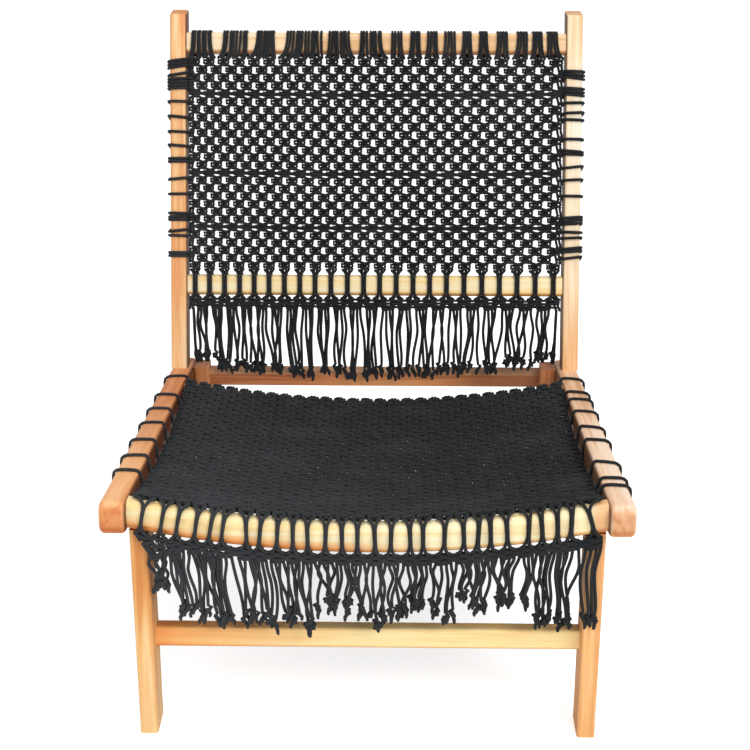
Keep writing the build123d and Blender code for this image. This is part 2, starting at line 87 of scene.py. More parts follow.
class Finish:
    """A material being built: its nodes, and the principled shader at its end."""

    def __init__(self, name, shader_values):
        self.material = bpy.data.materials.new(name)
        self.material.use_nodes = True
        self.tree = self.material.node_tree
        self.shader = self.tree.nodes["Principled BSDF"]
        for label, value in shader_values.items():
            self.shader.inputs[label].default_value = value

    def node(self, kind, settings=None, *values, out=0, **named):
        """Add a node, set its settings, then give its sockets values or links."""
        made = self.tree.nodes.new(kind)
        for label, value in (settings or {}).items():
            if label == "stops":
                ramp = made.color_ramp
                while len(ramp.elements) < len(value):
                    ramp.elements.new(0.5)
                for element, (place, colour) in zip(ramp.elements, value):
                    element.position = place
                    element.color = (*colour, 1.0)
            else:
                setattr(made, label, value)
        for place, value in [*enumerate(values), *named.items()]:
            target = made.inputs[place]
            if isinstance(value, Sock):
                self.tree.links.new(value.socket, target)
            else:
                target.default_value = value
        return Sock(self, made.outputs[out])

    def place(self):
        """Each point's place in metres."""
        return self.node("ShaderNodeTexCoord", None, out=3)

    def parts(self, vector):
        """The three numbers of a vector."""
        split = self.node("ShaderNodeSeparateXYZ", None, vector).socket.node
        return [Sock(self, output) for output in split.outputs]

    def reach(self, vector, direction):
        """How far a vector reaches along a direction."""
        settings = {"operation": "DOT_PRODUCT"}
        return self.node("ShaderNodeVectorMath", settings, vector, direction, out=1)

    def feed(self, label, sock):
        """Link a value or colour to the shader's own socket."""
        self.tree.links.new(sock.socket, self.shader.inputs[label])

    def mix(self, share, first, second, how="MIX"):
        """Mix two colours; the numbered sockets are the colour ones of the Mix node."""
        settings = {"data_type": "RGBA", "blend_type": how}
        made = self.node("ShaderNodeMix", settings, share, out=2)
        for place, value in ((6, first), (7, second)):
            target = made.socket.node.inputs[place]
            if isinstance(value, Sock):
                self.tree.links.new(value.socket, target)
            else:
                target.default_value = (*value, 1.0)
        return made

    def bump(self, height, strength, distance):
        """Bump from a height; the shader's normal."""
        made = self.node("ShaderNodeBump", None, strength, distance)
        self.tree.links.new(height.socket, made.socket.node.inputs["Height"])
        self.feed("Normal", made)


def painted(red, green, blue):
    """A colour given as it looks on screen, 0 to 255, as linear values."""
    share = np.array([red, green, blue]) / 255
    return tuple(np.where(share < 0.04045, share / 12.92, ((share + 0.055) / 1.055) ** 2.4))


end_grain_tint = (0.76, 0.55, 0.40)  # end grain has soaked up more oil
# painted shade: faces that look down are darker and warmer
underside_shade_tint = (0.84, 0.60, 0.40)
inner_face_shade_tint = (0.2, 0.14, 0.1)  # painted shade on the side faces that look in towards the net


def timber(name, along, colours, inward, darker, seed):
    """Oiled wood: long soft bands, fine fibres and pores, all drawn out along the piece's length.

    The colours are light, middle and dark. End grain is darker from oil. Faces that look down and the
    face that looks `inward` (-1 or 1 in x) get painted shade. Each entry of `darker` makes a part of
    the board darker, and the table of them says which are painted shade: it comes in over a span of x
    and a span of level, the height above a curve of the seat bars' shape.
    """
    light, middle, dark = (painted(*colour) for colour in colours)
    wood = Finish(name, {"Specular IOR Level": 0.4})
    runs_across = along[0] > 0.5
    tilt = 0.0 if runs_across else atan2(along[2], along[1])
    turn = pi / 2 if runs_across else 0.0
    place = wood.place()
    straight = wood.node(
        "ShaderNodeMapping", {"vector_type": "POINT"}, place, (0.0, 0.0, 0.0), (-tilt, 0.0, turn)
    )

    def drawn_out(across, lengthwise, detail, bend, shift):
        """Noise with one scale across the grain and another along it."""
        start = (seed * 1.37 + shift, seed * 0.71, seed * 2.3 + shift)
        scale = (across, lengthwise, across)
        stretched = wood.node("ShaderNodeMapping", None, straight, start, (0.0, 0.0, 0.0), scale)
        return wood.node(
            "ShaderNodeTexNoise", None, Vector=stretched, Scale=1.0, Detail=detail, Distortion=bend
        )

    # Each noise by its scale across and along the grain, its detail, bend and shift.
    patches = drawn_out(9.0, 2.6, 2.0, 0.3, 0.0)
    bands = drawn_out(70.0, 2.8, 2.0, 1.1, 3.1)
    fibres = drawn_out(900.0, 22.0, 2.0, 0.0, 7.7)
    pores = drawn_out(1500.0, 60.0, 1.0, 0.0, 11.3)
    ground = wood.node(
        "ShaderNodeValToRGB", {"stops": ((0.38, dark), (0.49, middle), (0.60, light))},
        bands * 0.55 + patches * 0.35 + fibres * 0.10,
    )
    dusty = wood.mix(patches.clamped(0.42, 0.72) * 0.4, ground, light)
    streaked = wood.mix((1 - fibres.clamped(0.28, 0.5)) * 0.18, dusty, dark)
    pored = wood.mix((1 - pores.clamped(0.24, 0.34)) * 0.3, streaked, dark)
    facing = wood.node("ShaderNodeTexCoord", None, out=1)  # the way that each face looks
    lengthwise = wood.reach(facing, along)
    ends = (lengthwise * lengthwise).clamped(0.25, 0.9)
    wood_colour = wood.mix(ends, pored, end_grain_tint, how="MULTIPLY")
    # painted shade on the faces that look down
    under = wood.reach(facing, (0.0, 0.0, -1.0)).clamped(-0.14, 0.3)
    wood_colour = wood.mix(under, wood_colour, underside_shade_tint, how="MULTIPLY")
    # painted shade on the face that looks in towards the net
    if inward:
        inner_shade = wood.reach(facing, (inward, 0.0, 0.0)).clamped(0.5, 0.98)
        wood_colour = wood.mix(inner_shade, wood_colour, inner_face_shade_tint, how="MULTIPLY")
    # parts made darker, several of them painted shade
    sideways, _, height = wood.parts(place)
    for x_span, level_span, bow, tint in darker:
        level = height - sideways * sideways * bow
        share = sideways.clamped(*x_span) * level.clamped(*level_span)
        wood_colour = wood.mix(share, wood_colour, tint, how="MULTIPLY")
    wood.feed("Base Color", wood_colour)
    wood.feed("Roughness", bands * 0.18 + fibres * 0.12 + 0.33)
    wood.bump(fibres * 0.6 + pores * 0.4 + bands * 0.8, 0.16, 0.0006)
    return wood.material


slope = radians(8.4)  # the rails fall to the rear
lean = radians(20.0)  # the posts lean back
front_leg_lean = radians(4.7)
rear_leg_splay = radians(12.0)
across_x = (1.0, 0.0, 0.0)
along_rail = (0.0, cos(slope), -sin(slope))
along_post = (0.0, sin(lean), cos(lean))
along_front_leg = (0.0, sin(front_leg_lean), cos(front_leg_lean))
along_rear_leg = (0.0, -sin(rear_leg_splay), cos(rear_leg_splay))
hidden_teak = ((236, 178, 128), (214, 148, 98), (168, 102, 60))
timbers = {  # grain direction, then the light, middle and dark colours of each board
    "seat_rail_left": (along_rail, (252, 194, 138), (240, 165, 107), (210, 127, 75)),
    "seat_rail_right": (along_rail, (252, 226, 200), (244, 204, 168), (216, 162, 120)),
    "back_post_left": (along_post, (250, 224, 182), (246, 193, 134), (232, 156, 96)),
    "back_post_right": (along_post, (251, 240, 216), (249, 221, 182), (234, 186, 134)),
    "front_leg_left": (along_front_leg, (250, 216, 164), (243, 192, 126), (226, 162, 94)),
    "front_leg_right": (along_front_leg, (250, 208, 150), (242, 181, 115), (210, 138, 80)),
    "rear_leg_left": (along_rear_leg, *hidden_teak),
    "rear_leg_right": (along_rear_leg, *hidden_teak),
    "back_top_bar": (across_x, (250, 226, 190), (248, 212, 168), (226, 178, 126)),
    "front_stretcher": (across_x, (254, 234, 174), (253, 218, 150), (244, 194, 124)),
    "rear_stretcher": (across_x, (255, 206, 158), (252, 186, 136), (206, 138, 96)),
    "seat_front_bar": (across_x, (255, 242, 204), (255, 232, 176), (252, 214, 146)),
    "seat_rear_bar": (across_x, (226, 168, 112), (206, 142, 90), (160, 100, 58)),
    "back_lower_bar": (across_x, (255, 240, 200), (255, 226, 162), (250, 204, 130)),
    "leg_dowels": (across_x, *hidden_teak),
    "post_pins": (across_x, *hidden_teak),
}
anywhere = (-2.0, -1.0)  # a span that the whole chair lies past
darker_parts = {  # spans of x and of level in metres, the curve's bow, and the tint
    # the left end darker and more orange: partly the board's own colour, partly painted shade beside
    # the lit middle
    "front_stretcher": [((0.02, -0.27), anywhere, 0.0, (0.94, 0.58, 0.38))],
    "rear_stretcher": [
        # the left part a little darker
        ((0.0, -0.24), anywhere, 0.0, (0.72, 0.68, 0.64)),
        # painted shadow: the right end much darker, where the stretcher lies in shade
        ((0.06, 0.18), anywhere, 0.0, (0.40, 0.34, 0.30)),
    ],
    # darker towards the rail's rear end
    "seat_rail_left": [(anywhere, (0.300, 0.274), 0.0, (0.82, 0.72, 0.68))],
    "seat_front_bar": [
        # the lower edge on the left more orange: partly the board's own colour, partly painted shade
        # under the bar
        ((0.10, -0.06), (0.269, 0.259), 0.36, (0.85, 0.50, 0.30)),
        # painted shade: the bar's right end, beside the right rail's nose, is darker
        ((0.256, 0.268), anywhere, 0.0, (0.90, 0.62, 0.50)),
    ],
    # painted shade: the leg's upper part is darker, under the rail and fringe
    "front_leg_left": [(anywhere, (0.11, 0.21), 0.0, (0.86, 0.68, 0.52))],
    # darker towards the post's foot
    "back_post_right": [(anywhere, (0.36, 0.26), 0.0, (0.96, 0.74, 0.56))],
}
for seed, (node, (along, *colours)) in enumerate(timbers.items()):
    side = ("left" in node) - ("right" in node)
    # the rails and back posts get painted shade on their inner faces
    inward = side if "rail" in node or "back_post" in node else 0
    finish = timber("oiled_" + node, along, colours, inward, darker_parts.get(node, []), seed + 1.0)
    nodes[node].data.materials.clear()
    nodes[node].data.materials.append(finish)


# ---------------------------------------------------------------- the cord
# Charcoal cotton cord of about 4 mm, braided over a core. Every net, turn and fringe end is made
# of it, as tubes whose surface carries the braid.
cord_radius = 2.1 * mm
cord_sides = 5


def smooth_path(points, steps):
    """Catmull-Rom curve through each row of points, with `steps` pieces between neighbours."""
    ends_added = np.concatenate(
        [2 * points[:, :1] - points[:, 1:2], points, 2 * points[:, -1:] - points[:, -2:-1]], axis=1
    )
    before, start, end, after = (ends_added[:, i : points.shape[1] - 1 + i, None] for i in range(4))
    t = np.linspace(0, 1, steps, endpoint=False)[None, None, :, None]
    curve = 0.5 * (
        2 * start
        + (end - before) * t
        + (2 * before - 5 * start + 4 * end - after) * t**2
        + (3 * start - before - 3 * end + after) * t**3
    )
    curve = curve.reshape(len(points), -1, 3)
    return np.concatenate([curve, points[:, -1:]], axis=1)


def unit(vectors):
    """Vectors of length one in the same directions."""
    return vectors / np.maximum(np.linalg.norm(vectors, axis=-1, keepdims=True), 1e-12)


def rings_along(paths, closed):
    """Side direction at each point of each path, carried along without twist.

    Each step keeps the last direction and takes away the part of it that lies along the path.
    """
    if closed:
        along = unit(np.roll(paths, -1, axis=1) - np.roll(paths, 1, axis=1))
    else:
        along = unit(np.gradient(paths, axis=1))
    first = np.where(np.abs(along[:, 0, :1]) < 0.8, [[1.0, 0.0, 0.0]], [[0.0, 1.0, 0.0]])
    side = np.empty_like(paths)
    last = first
    for step in range(paths.shape[1]):
        here = along[:, step]
        last = unit(last - (last * here).sum(-1, keepdims=True) * here)
        side[:, step] = last
    return along, side


def tube(paths, radius=cord_radius, sides=cord_sides, closed=False):
    """Round tubes along many paths of equal count: a ring of `sides` points at each path point.

    Open tubes get a narrower ring past each end and a cap there. Returns the points, and pairs of
    faces and the UVs of their corners.
    """
    radius = np.broadcast_to(radius, paths.shape[:2])
    if not closed:
        past, narrower = 0.5, 0.55  # as shares of the radius
        first = paths[:, :1] + unit(paths[:, :1] - paths[:, 1:2]) * radius[:, :1, None] * past
        last = paths[:, -1:] + unit(paths[:, -1:] - paths[:, -2:-1]) * radius[:, -1:, None] * past
        paths = np.concatenate([first, paths, last], axis=1)
        radius = np.concatenate([radius[:, :1] * narrower, radius, radius[:, -1:] * narrower], axis=1)
    count, long = paths.shape[:2]
    along, side = rings_along(paths, closed)
    over = np.cross(along, side)
    angle = np.arange(sides) * 2 * pi / sides
    round_it = side[:, :, None] * np.cos(angle)[:, None] + over[:, :, None] * np.sin(angle)[:, None]
    points = paths[:, :, None] + round_it * radius[:, :, None, None]
    index = np.arange(count * long * sides).reshape(count, long, sides)
    reach = np.concatenate([index, index[:, :1]], axis=1) if closed else index
    near, far = reach[:, :-1], reach[:, 1:]
    quads = np.stack([near, np.roll(near, -1, 2), np.roll(far, -1, 2), far], axis=-1)
    steps = np.linalg.norm(np.diff(np.concatenate([paths, paths[:, :1]], 1), axis=1), axis=-1)
    length = np.concatenate([np.zeros((count, 1)), np.cumsum(steps, axis=1)], axis=1)
    v = length / (2 * pi * cord_radius)
    v_near, v_far = v[:, : quads.shape[1], None], v[:, 1 : quads.shape[1] + 1, None]
    u = np.arange(sides) / sides
    u_next = u + 1 / sides
    corners = np.broadcast_arrays(u, v_near, u_next, v_near, u_next, v_far, u, v_far)
    uv = np.stack(corners, axis=-1)
    faces = [(quads.reshape(-1, 4), uv.reshape(-1, 2))]
    if not closed:
        caps = np.concatenate([index[:, 0, ::-1], index[:, -1]])
        faces.append((caps, np.zeros((caps.size, 2))))
    return points.reshape(-1, 3), faces


def joined(shapes):
    """Several shapes as one: points one after the other, faces renumbered."""
    points, faces, start = [], [], 0
    for shape_points, shape_faces in shapes:
        points.append(shape_points)
        faces += [(corners + start, uv) for corners, uv in shape_faces]
        start += len(shape_points)
    return np.concatenate(points), faces


def braided(name, ground, raised, wear_and_light):
    """Braided cord: two sets of strands cross along the UVs, raised where they pass over.

    It is paler in patches of wear, and paler still towards the seat's front left, which is painted
    light.
    """
    cord = Finish(name, {"Specular IOR Level": 0.18, "Sheen Weight": 0.06})
    u, v, _ = cord.parts(cord.node("ShaderNodeUVMap", {"uv_map": "along"}))
    around = u * (2 * pi)
    lengthwise = v * (2 * pi)
    plait = (around * 2 + lengthwise * 2).wave() * (around * 2 - lengthwise * 2).wave()
    place = cord.place()
    fuzz = cord.node("ShaderNodeTexNoise", None, Vector=place, Scale=900.0, Detail=2.0)
    fading = cord.node("ShaderNodeTexNoise", None, Vector=place, Scale=14.0, Detail=2.0)
    colour = cord.mix(plait.clamped(-0.7, 0.9), ground, raised)
    # painted light: the cord is paler towards the seat's front left, where more light falls
    lit_front_left = cord.reach(place, (-1.0, -0.6, 0.0)).clamped(-0.12, 0.5)
    paler = fading.clamped(0.45, 0.7) * 0.2 + fuzz * 0.12 + lit_front_left * 0.52
    cord.feed("Base Color", cord.mix(paler, colour, wear_and_light))
    cord.feed("Roughness", fuzz * 0.2 + 0.72)
    cord.bump(plait * 0.7 + fuzz * 0.5, 0.55, 0.0004)
    return cord.material


charcoal = braided("charcoal_cord", painted(20, 21, 23), painted(37, 37, 40), painted(64, 66, 69))


def cord_piece(name, groups, replaced=None, **shape):
    """Cords as one mesh with smooth faces and UVs, which rides on the frame.

    The cords of a group have equally many points, and `shape` is what tube() is told of them.
    """
    points, faces = joined([tube(paths, **shape) for paths in groups])
    mesh = bpy.data.meshes.new(name)
    mesh.vertices.add(len(points))
    mesh.vertices.foreach_set("co", points.astype(np.float32).ravel())
    corners = np.concatenate([group.ravel() for group, _ in faces])
    sizes = np.concatenate([np.full(len(group), group.shape[1]) for group, _ in faces])
    mesh.loops.add(len(corners))
    mesh.loops.foreach_set("vertex_index", corners.astype(np.int32))
    mesh.polygons.add(len(sizes))
    mesh.polygons.foreach_set("loop_start", (np.cumsum(sizes) - sizes).astype(np.int32))
    mesh.polygons.foreach_set("use_smooth", np.ones(len(sizes), bool))
    mesh.update(calc_edges=True)
    layer = mesh.uv_layers.new(name="along")
    layer.data.foreach_set("uv", np.concatenate([uv for _, uv in faces]).astype(np.float32).ravel())
    mesh.materials.append(charcoal)
    piece = bpy.data.objects.new(name, mesh)
    bpy.context.scene.collection.objects.link(piece)
    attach(piece, "root")
    if replaced:
        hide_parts(replaced)
    return piece


def drift(x, y, seed, size):
    """Smooth uneven shifts: three sine waves of different lengths added up."""
    return size * (
        np.sin(x * 31 + y * 17 + seed)
        + np.sin(x * 67 - y * 43 + seed * 2.3)
        + np.sin(x * 11 + y * 89 + seed * 4.1)
    ) / 3


# ---------------------------------------------------------------- back net
# An open net of alternating square knots between the two back bars, 23 across and 27 down. Four
# cords make a knot: two lie straight in its middle and the outer two are led round them. A knot of
# the next row takes two cords from each of the two above it.
knot_foot = np.array([-3.45, -1.25, 1.25, 3.45]) * cord_radius  # a knot's cords just below it


def knot_head(pitch):
    """Places of a knot's four cords just above it, where they come from the feet of two others."""
    return np.array([-1, -1, 1, 1]) * pitch / 2 - knot_foot[[1, 0, 3, 2]]


def square_knot(pitch, row, half_wide, half_high, thick):
    """Centre lines of a knot's four cords from the top of its row to the bottom, middle at 0.

    The points are (across, down, forward), as shares of the knot's half width, half height and
    thickness. The outer cord `over` passes in front twice, the one `behind` passes at the back.
    """
    over = [
        (-0.90, -0.74, 0.45), (-0.42, -0.62, 0.95), (0.30, -0.44, 1.0), (0.86, -0.26, 0.35),
        (0.98, 0.02, -0.15), (0.86, 0.28, 0.40), (0.30, 0.44, 1.0), (-0.42, 0.62, 0.95),
        (-0.90, 0.80, 0.45),
    ]
    behind = [
        (0.92, -0.78, 0.55), (1.02, -0.42, 0.60), (0.35, -0.20, -0.95), (-0.55, -0.22, -0.85),
        (-1.0, -0.26, 0.55), (-1.0, 0.24, 0.55), (-0.50, 0.20, -0.90), (0.45, 0.18, -0.95),
        (1.0, 0.56, 0.62),
    ]
    inner_left, inner_right = ([(side, -0.62, 0.0), (side, 0.74, 0.0)] for side in (-0.32, 0.32))

    def placed(head, points):
        cord = np.array(points) * (half_wide, half_high, thick) + (0.0, row / 2, 0.0)
        return np.concatenate([[(head, 0.0, 0.0)], cord])

    return [placed(*both) for both in zip(knot_head(pitch), (over, inner_left, inner_right, behind))]


def net_cords(columns, rows, pitch, row, half_wide, half_high, thick):
    """Every cord of a net, flat: x across with the middle at 0, y down from the top, z to the front.

    Cord j of a column plays part j in even rows. In odd rows the knots sit half a pitch over, so it
    plays part j+2, and the two outermost cords on each side run straight.
    """
    knot = square_knot(pitch, row, half_wide, half_high, thick)
    head = knot_head(pitch)
    shift = -columns * pitch / 2
    cords = []
    for number in range(4 * columns):
        column, part = divmod(number, 4)
        odd_column, odd_part = divmod(number - 2, 4)
        even_centre = shift + (column + 0.5) * pitch
        odd_centre = shift + (odd_column + 1.0) * pitch
        free = odd_column < 0 or odd_column > columns - 2
        pieces = []
        for level in range(rows):
            if level % 2 == 0:
                piece = knot[part] + (even_centre, level * row, 0.0)
            elif free:
                run = np.linspace(0, 1, len(knot[odd_part]), endpoint=False)
                outer = even_centre + knot_foot[part] + (head - knot_foot)[part] * run
                piece = np.stack([outer, (level + run) * row, 0 * run], 1)
            else:
                piece = knot[odd_part] + (odd_centre, level * row, 0.0)
            pieces.append(piece)
        last = even_centre + (knot_foot if rows % 2 else head)[part]
        pieces.append(np.array([[last, rows * row, 0.0]]))
        cords.append(np.concatenate(pieces))
    return cords


def laid_on(cords, place):
    """Carry flat cords to their place, and gather those with equally many points into arrays."""
    sizes = sorted({len(cord) for cord in cords})
    return [place(*np.moveaxis(np.stack([c for c in cords if len(c) == n]), -1, 0)) for n in sizes]


back_net_thickness = 7.0 * mm  # of the plain sheet in the CAD, which gives the net its place
net_low, net_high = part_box("back_net")
net_foot_y = net_low.y
net_foot_z = net_low.z + back_net_thickness * sin(lean)
back_net_long = (net_high.z - net_foot_z) / cos(lean)
back_columns = 23
back_rows = 27
back_net_wide = 284.0 * mm  # from the middle to each side edge
back_net_margin = 3.0 * mm  # cords left bare above the first knots and below the last ones
back_knots_long = back_net_long - 2 * back_net_margin
back_pitch = 2 * back_net_wide / back_columns
back_row = back_knots_long / back_rows
back_knot = (8.2 * mm, 9.1 * mm, 2.8 * mm)  # half width, half height and thickness
back_sag = 3.0 * mm
back_crowding = 0.06  # how far the middle is pushed to the left, as a share of the half width
back_depth_middle = -back_net_thickness / 2


def on_back(x, rise, forward):
    """Points `rise` above the net's lower edge along the posts, and `forward` of its front face."""
    y = net_foot_y + rise * sin(lean) - forward * cos(lean)
    z = net_foot_z + rise * cos(lean) + forward * sin(lean)
    return np.stack(np.broadcast_arrays(x, y, z), axis=-1)


def unevenly(x):
    """Places across the back: pushed to the left in the middle, unchanged at the edges."""
    return x - back_crowding * back_net_wide * (1 - np.square(x / back_net_wide))


def place_on_back(x, down, front):
    """Down runs from the top bar to the lower one; the net bows down in its middle."""
    side = unevenly(x)
    bow = back_sag * (1 - (side / back_net_wide) ** 2) * np.sin(pi * down / back_knots_long)
    low = down + back_net_margin + bow + drift(x, down, 0.7, 0.9 * mm)
    fixed = np.sin(pi * np.clip(down / back_knots_long, 0, 1)) ** 0.3
    side = side + fixed * drift(down, x, 2.9, 1.2 * mm)
    return on_back(side, back_net_long - low, front + back_depth_middle)


back_cords = net_cords(back_columns, back_rows, back_pitch, back_row, *back_knot)
back_groups = laid_on(back_cords, place_on_back)
back_net = cord_piece("knotted_back_net", back_groups, "back_net")


# ---------------------------------------------------------------- turns round the back bars
# Each column of four cords reaches the lower bar together: two are led over its front and two
# behind it. On the top bar all four lie side by side over the front and round the bar.
back_bar_half_deep = 13.0 * mm
back_bar_half_high = 15.5 * mm
lying = cord_radius + 0.15 * mm  # a cord's middle above the wood that it lies on
bar_front = back_bar_half_deep + lying
bar_top = back_bar_half_high + lying
corner_deep = bar_front - 2.6 * mm  # halfway round the bar's rounded edge
corner_high = bar_top - 2.6 * mm
net_end = back_bar_half_high + 4.9 * mm  # the net's edge from the bar's middle
bar_behind = back_bar_half_deep + 4.7 * mm  # the bar's middle behind the net's front
net_forward = bar_behind + back_depth_middle
band_forward = bar_behind - 4.5 * mm


def round_back_bar(bar_rise, x, route):
    """Paths round a back bar from a route of (forward of the bar's middle, above it).

    x holds for each cord its places at the route's points.
    """
    forward, above = (np.broadcast_to(values, x.shape) for values in np.array(route).T)
    return smooth_path(on_back(x, bar_rise + above, forward - bar_behind), 2)


def blended(first, last, shares):
    """Rows of values that go from `first` to `last` by the given shares."""
    return first[:, None] + (last - first)[:, None] * np.array(shares)


column_middles = (np.arange(back_columns) + 0.5) * back_pitch - back_net_wide
over_front = [
    (net_forward, net_end + back_net_margin), (bar_front - 0.5 * mm, corner_high + 1.5 * mm),
    (bar_front, 7.0 * mm), (bar_front, -7.0 * mm), (bar_front - 0.3 * mm, -corner_high),
    (band_forward, -net_end),
]
behind_bar = [
    (net_forward, net_end + back_net_margin), (corner_deep - 3 * mm, bar_top + 2 * mm), (0, bar_top),
    (-corner_deep, corner_high), (-bar_front, 0), (-corner_deep, -corner_high), (0, -bar_top),
    (corner_deep - 4 * mm, -bar_top - 1 * mm), (band_forward, -net_end),
]
turns = []
for part, route in ((0, over_front), (3, over_front), (1, behind_bar), (2, behind_bar)):
    on_net = unevenly(column_middles + knot_foot[part])
    on_band = unevenly(column_middles + knot_head(back_pitch)[part])
    beside = 0.88 * cord_radius * (1 if part in (0, 1) else -1)
    on_bar = unevenly(column_middles) - beside + drift(column_middles, 0, 1.1, 1.0 * mm)
    way = np.linspace(0, 1, len(route))
    off_bar = blended(on_net, on_band, way > 0.5)
    x = off_bar + (on_bar[:, None] - off_bar) * np.sin(pi * way) ** 0.25
    turns.append(round_back_bar(-net_end, x, route))
back_lower_turns = cord_piece("back_lower_bar_turns", turns, "back_lower_wraps")

# On the top bar the columns are pushed together into blocks, wide ones on the left.
top_blocks = (  # from and to along the bar in mm, and the number of columns
    (-279, -246, 2), (-231, -192, 2), (-181, -151, 2), (-135, -81, 3), (-72, -39, 2), (-24, 10, 2),
    (22, 40, 1), (51, 67, 1), (76, 93, 1), (102, 120, 1), (129, 144, 1), (154, 168, 1),
    (181, 198, 1), (211, 228, 1), (234, 250, 1), (256, 273, 1),
)
chance = np.random.default_rng(4)
on_bar = []
for start, end, columns in top_blocks:
    places = np.linspace(start * mm + lying, end * mm - lying, 4 * columns)
    loose = 1.1 * mm if columns > 1 else 0.25 * mm  # wide blocks lie less evenly
    on_bar.append(places + chance.uniform(-loose, loose, 4 * columns))
on_bar = np.concatenate(on_bar)
on_net = unevenly((column_middles[:, None] + knot_head(back_pitch)).ravel())
round_top = [
    (net_forward, -net_end - back_net_margin), (bar_front - 1 * mm, -corner_high - 2 * mm),
    (bar_front, -7 * mm), (bar_front, 7 * mm), (corner_deep, corner_high), (0, bar_top),
    (-corner_deep, corner_high), (-bar_front, 0), (-corner_deep, -corner_high), (0, -bar_top),
    (6 * mm, -bar_top - 1.5 * mm),
]
shares = [0, 0.55, 0.85, 1, 1, 1, 1, 1, 1, 1, 0.8]
turns = round_back_bar(back_net_long + net_end, blended(on_net, on_bar, shares), round_top)
back_top_turns = cord_piece("back_top_bar_turns", [turns], "back_top_wraps")


# ---------------------------------------------------------------- back band and fringe
# Under the lower bar the cords are tied once more in two rows of knots. Their ends hang down free,
# each with an overhand knot, and cling together in bunches.
back_band_rows = 2
back_band_row = 8.5 * mm
back_band_knot = (8.8 * mm, 4.9 * mm, 2.6 * mm)


def place_on_back_band(x, down, front):
    """Down starts under the lower bar; the band rises and falls a little along its length."""
    sag = drift(x, 0 * x, 8.8, 1.0 * mm)
    return on_back(unevenly(x), -2 * net_end - down + sag, front + band_forward - bar_behind)


def level_runs(place, half, downs, front, waves):
    """Cords that run level through a band at the heights `downs`, each in a long flat sine wave."""
    wave_height = 0.6 * mm
    x = np.linspace(-half, half, 120)
    wavy = [down + wave_height * np.sin(x * waves + number) for number, down in enumerate(downs)]
    return np.stack([place(x, down, front + 0 * x) for down in wavy])


band_cords = net_cords(back_columns, back_band_rows, back_pitch, back_band_row, *back_band_knot)
band_groups = laid_on(band_cords, place_on_back_band)
header_downs = (2.2 * mm, 7.0 * mm, 11.5 * mm)
headers = level_runs(place_on_back_band, back_net_wide - 4 * mm, header_downs, 0.6 * mm, 90)
back_band = cord_piece("back_band_of_knots", [*band_groups, headers], "back_gather_band")


def overhand_knot(size):
    """Open trefoil from its upper end down: (t^3 - 3t, t^4 - 4t^2 + 1.6, (t^5 - 10t) / 3)."""
    t = np.linspace(2.1, -2.1, 12)
    return np.stack([t**3 - 3 * t, t**4 - 4 * t**2 + 1.6, (t**5 - 10 * t) / 3], 1) * size


end_knot_long = 21.0 * mm  # from the end of a cord's free run to the tip of its tail
end_knot_middle = 8.0 * mm
end_knot_scale = 0.95 * mm
tail_drops = (2.0 * mm, 4.0 * mm)
band_to_fringe = (0.0, -1.5 * mm, 0.0)  # across, down, front: free ends start inside the band
strand_radius = mm * np.r_[np.full(17, 2.1), np.full(12, 2.5), 2.1, 1.8]  # run, end knot, tail


def hanging_cords(roots, lowest, bunches, chance, pull, wander, carried):
    """Cords hanging from roots (x, y, z) to the heights in `lowest`, each with an end knot and tail.

    Every cord is drawn towards the middle of its bunch by a share of up to `pull`, moved to the
    side by `carried`, and bowed by part of a sine wave of height `wander`.
    """
    fall = np.linspace(0, 1, 9)
    count = len(roots)
    middles = np.array([roots[bunches == b].mean(axis=0) for b in bunches])
    drawn_in = pull * chance.uniform(0.4, 1.0, (count, 1)) * fall**1.3
    bend = chance.uniform(0.5, 0.95, (2, count, 1)) * 2 * pi
    start = chance.choice((0.0, pi), (2, count, 1)) + chance.uniform(-0.7, 0.7, (2, count, 1))
    sway = wander * chance.uniform(0.4, 1.3, (2, count, 1)) * np.sin(start + bend * fall)
    sway = sway * np.minimum(1, 3 * fall)
    paths = np.empty((count, len(fall), 3))
    paths[..., 0] = roots[:, None, 0] + (middles - roots)[:, None, 0] * drawn_in + sway[0]
    paths[..., 0] += np.broadcast_to(carried, count)[:, None] * fall**0.8
    paths[..., 1] = roots[:, None, 1] + sway[1] * 0.8
    paths[..., 2] = roots[:, None, 2] + (lowest + end_knot_long - roots[:, 2])[:, None] * fall
    paths = smooth_path(paths, 2)
    knots = np.tile(overhand_knot(end_knot_scale), (count, 1, 1))
    spin = chance.uniform(0, 2 * pi, count)[:, None]
    x, y = knots[..., 0].copy(), knots[..., 1].copy()
    knots[..., 0] = x * np.cos(spin) - y * np.sin(spin)
    knots[..., 1] = x * np.sin(spin) + y * np.cos(spin)
    knots += paths[:, -1:] - (0, 0, end_knot_middle)
    tails = np.stack([knots[:, -1] + (0, 0, -drop) for drop in tail_drops], axis=1)
    tails[:, 1, :2] += chance.uniform(-1 * mm, 1 * mm, (count, 2))
    return np.concatenate([paths, knots, tails], axis=1)


def bunched(count, smallest, largest, chance):
    """Number of the bunch that each of `count` cords belongs to."""
    sizes = chance.integers(smallest, largest + 1, count)
    return np.repeat(np.arange(count), sizes)[:count]


def free_ends(cords, place):
    """Where each cord of a band comes free below it, from left to right."""
    roots = np.array([place(*cord[-1] + band_to_fringe) for cord in cords])
    return roots[np.argsort(roots[:, 0])]


rail_low, rail_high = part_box("seat_rail_left")
rail_inner = -rail_high.x
leg_inner = 257.0 * mm  # from the chair's middle to the legs' inner faces
leg_head_level = 228.0 * mm  # the fringe ends above the rear legs' heads
back_roots = free_ends(band_cords, place_on_back_band)
chance = np.random.default_rng(11)
back_bunches = bunched(len(back_roots), 3, 6, chance)
